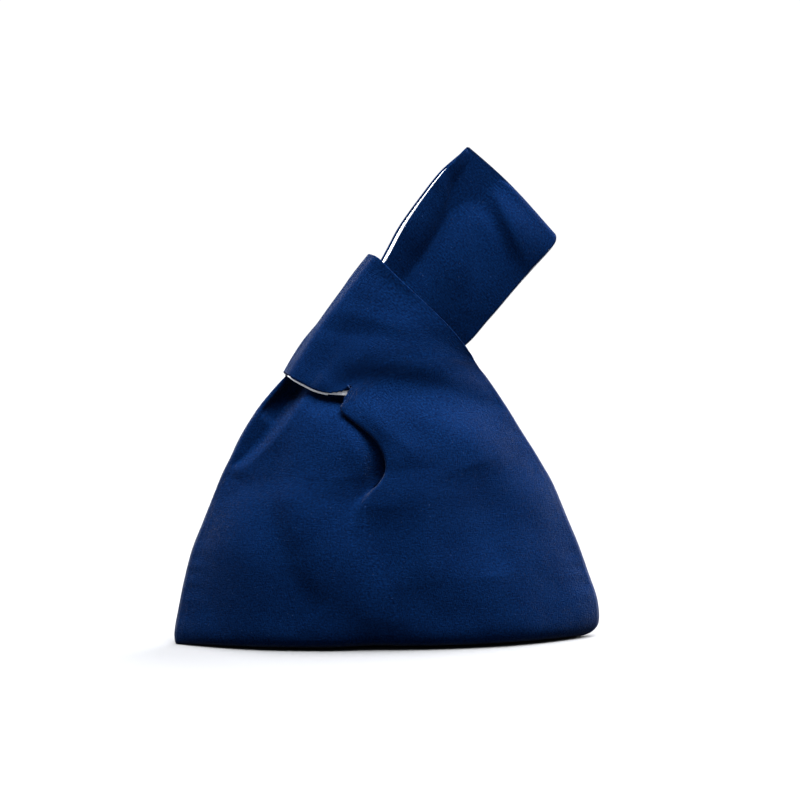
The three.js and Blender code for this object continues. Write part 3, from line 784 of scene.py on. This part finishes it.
class Nodes:
    """A short way to add shader nodes and link them."""

    def __init__(self, tree):
        self.tree = tree

    def add(self, kind, inputs=None, **settings):
        node = self.tree.nodes.new(kind)
        for name, value in settings.items():
            setattr(node, name, value)
        for name, value in (inputs or {}).items():
            self.feed(node.inputs[name], value)
        return node

    def feed(self, socket, value):
        if isinstance(value, bpy.types.NodeSocket):
            self.tree.links.new(value, socket)
        else:
            socket.default_value = value

    def math(self, operation, *values):
        node = self.add("ShaderNodeMath", operation=operation)
        for socket, value in zip(node.inputs, values):
            self.feed(socket, value)
        return node.outputs[0]

    def noise(self, vector, scale, detail=2.0, roughness=0.5):
        node = self.add("ShaderNodeTexNoise", {
            "Vector": vector, "Scale": scale, "Detail": detail, "Roughness": roughness})
        return node.outputs["Fac"]

    def stretch(self, vector, x, y):
        node = self.add("ShaderNodeMapping", {"Vector": vector, "Scale": (x, y, 1)})
        return node.outputs["Vector"]

    def ramp(self, value, low, high):
        node = self.add("ShaderNodeMapRange", {
            "Value": value, "From Min": low[0], "From Max": high[0],
            "To Min": low[1], "To Max": high[1]})
        return node.outputs["Result"]

    def mix(self, share, first, second):
        node = self.add("ShaderNodeMix", data_type="RGBA")
        self.feed(node.inputs[0], share)
        self.feed(node.inputs[6], first)
        self.feed(node.inputs[7], second)
        return node.outputs[2]

    def bump(self, height, distance, normal=None):
        inputs = {"Height": height, "Distance": distance, "Strength": 1.0}
        if normal is not None:
            inputs["Normal"] = normal
        return self.add("ShaderNodeBump", inputs).outputs["Normal"]


def thread_height(nodes, across, along):
    """The round back of one set of threads of a plain weave, which rises and dips in turn."""
    number = nodes.math("FLOOR", across)
    back = nodes.math("ABSOLUTE", nodes.math("SINE", nodes.math("MULTIPLY", across, math.pi)))
    wave = nodes.math("SINE", nodes.math("MULTIPLY", nodes.math("ADD", along, number), math.pi))
    return nodes.math("MULTIPLY", back, nodes.ramp(wave, *THREAD_RISE))


def woven(name, cloth):
    """A plain-woven material with slubs, clouds in the dye, grain and lint."""
    material = bpy.data.materials.new(name)
    material.use_nodes = True
    nodes = Nodes(material.node_tree)
    shader = material.node_tree.nodes["Principled BSDF"]
    place = nodes.add("ShaderNodeUVMap", uv_map="cloth").outputs["UV"]
    parts = nodes.add("ShaderNodeSeparateXYZ", {"Vector": place})
    sway = nodes.math("SUBTRACT", nodes.noise(place, SWAY_SCALE), 0.5)
    sway = nodes.math("MULTIPLY", sway, SWAY_THREADS)
    across = nodes.math("ADD", nodes.math("DIVIDE", parts.outputs["X"], cloth["pitch"]), sway)
    along = nodes.math("ADD", nodes.math("DIVIDE", parts.outputs["Y"], cloth["pitch"]), sway)
    warp = thread_height(nodes, across, along)
    weft = thread_height(nodes, along, nodes.math("ADD", across, 1.0))
    weave = nodes.math("MAXIMUM", warp, weft)
    slub_up = nodes.noise(nodes.stretch(place, SLUB_ACROSS_SCALE, SLUB_ALONG_SCALE), 1)
    slub_across = nodes.noise(nodes.stretch(place, SLUB_ALONG_SCALE, SLUB_ACROSS_SCALE), 1)
    slubs = nodes.math("ADD", slub_up, slub_across)
    clouds = nodes.noise(place, CLOUD_SCALE, detail=4)
    grain = nodes.math("SUBTRACT", nodes.noise(place, GRAIN_SCALE, detail=1), GRAIN_MIDDLE)
    lint = nodes.noise(place, LINT_SCALE, detail=1, roughness=LINT_ROUGHNESS)
    lint = nodes.math("MULTIPLY", nodes.ramp(lint, *LINT_RANGE), LINT_SHARE)
    shade = nodes.math("MULTIPLY", slubs, SHADE_OF["slubs"])
    for kind, pattern in (("clouds", clouds), ("grain", grain), ("weave", weave)):
        shade = nodes.math("ADD", shade, nodes.math("MULTIPLY", pattern, SHADE_OF[kind]))
    colour = nodes.mix(nodes.ramp(shade, *SHADE_RANGE), cloth["dark"], cloth["light"])
    colour = nodes.mix(cloth["mottle"], cloth["middle"], colour)
    nodes.feed(shader.inputs["Base Color"], nodes.mix(lint, colour, cloth["lint"]))
    nodes.feed(shader.inputs["Roughness"], nodes.ramp(shade, *ROUGHNESS_RANGE))
    crumple = nodes.noise(place, CRUMPLE_SCALE, detail=3, roughness=CRUMPLE_ROUGHNESS)
    normal = nodes.bump(crumple, cloth["crumple"])
    normal = nodes.bump(slubs, cloth["slub"], normal)
    nodes.feed(shader.inputs["Normal"], nodes.bump(weave, cloth["weave"], normal))
    shader.inputs["Specular IOR Level"].default_value = cloth["specular"]
    shader.inputs["Sheen Weight"].default_value = cloth["sheen"]
    shader.inputs["Sheen Roughness"].default_value = cloth["sheen_roughness"]
    shader.inputs["Sheen Tint"].default_value = cloth["sheen_tint"]
    return material


def add_floor():
    material = bpy.data.materials.new("pale_floor")
    material.use_nodes = True
    shader = material.node_tree.nodes["Principled BSDF"]
    shader.inputs["Base Color"].default_value = FLOOR_COLOUR
    shader.inputs["Roughness"].default_value = FLOOR_ROUGHNESS
    shader.inputs["Specular IOR Level"].default_value = FLOOR_SPECULAR
    mesh = bpy.data.meshes.new("floor")
    corners = [(x * FLOOR_REACH, y * FLOOR_REACH, 0) for x, y in ((-1, -1), (1, -1), (1, 1), (-1, 1))]
    mesh.from_pydata(corners, [], [(0, 1, 2, 3)])
    mesh.materials.append(material)
    floor = bpy.data.objects.new("floor", mesh)
    bpy.context.scene.collection.objects.link(floor)


def add_lamp(name, light, away):
    """A lamp that shines against the direction given."""
    lamp = bpy.data.objects.new(name, light)
    lamp.rotation_euler = away.to_track_quat("Z", "Y").to_euler()
    bpy.context.scene.collection.objects.link(lamp)
    return lamp


def add_sun(sun):
    """A wide soft light from far away, that reaches the whole floor evenly."""
    light = bpy.data.lights.new(sun["name"], "SUN")
    light.energy = sun["strength"]
    light.angle = math.radians(sun["angle"])
    add_lamp(sun["name"], light, Vector((sun["x"], sun["y"], sun["z"])))


def add_softbox():
    """A small soft light high up in front."""
    light = bpy.data.lights.new("softbox", "AREA")
    light.shape = "RECTANGLE"
    light.size = SOFTBOX_WIDTH
    light.size_y = SOFTBOX_HEIGHT
    light.energy = SOFTBOX_POWER
    lamp = add_lamp("softbox", light, Vector(SOFTBOX_PLACE) - Vector(SOFTBOX_AIM))
    lamp.location = SOFTBOX_PLACE


def add_world():
    """White to the eye, and a softer white as light."""
    world = bpy.data.worlds.new("studio")
    world.use_nodes = True
    bpy.context.scene.world = world
    nodes = Nodes(world.node_tree)
    background = world.node_tree.nodes["Background"]
    background.inputs["Color"].default_value = (1, 1, 1, 1)
    seen = nodes.add("ShaderNodeLightPath").outputs["Is Camera Ray"]
    nodes.feed(background.inputs["Strength"], nodes.ramp(seen, (0, WORLD_LIGHT), (1, WORLD_SEEN)))


def add_camera():
    data = bpy.data.cameras.new("camera")
    data.sensor_width = SENSOR
    data.lens = SENSOR * CAMERA_FOCAL_PIXELS / IMAGE_PIXELS
    camera = bpy.data.objects.new("camera", data)
    turn, rise = math.radians(CAMERA_AZIMUTH), math.radians(CAMERA_ELEVATION)
    back = Vector((math.sin(turn) * math.cos(rise), -math.cos(turn) * math.cos(rise), math.sin(rise)))
    camera.location = Vector(CAMERA_TARGET) + back * CAMERA_DISTANCE
    camera.rotation_euler = back.to_track_quat("Z", "Y").to_euler()
    bpy.context.scene.collection.objects.link(camera)
    bpy.context.scene.camera = camera


materials = {"canvas": woven("navy_canvas", CANVAS), "lining": woven("white_lining", LINING)}
for side, seed in SEEDS.items():
    for part, piece in build_panel(side, seed, materials).items():
        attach(piece, "root")
        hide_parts(f"{SOLIDS[part]}_{side}")
add_floor()
add_world()
for sun in SUNS:
    add_sun(sun)
add_softbox()
add_camera()
bpy.context.scene.view_settings.view_transform = "Standard"
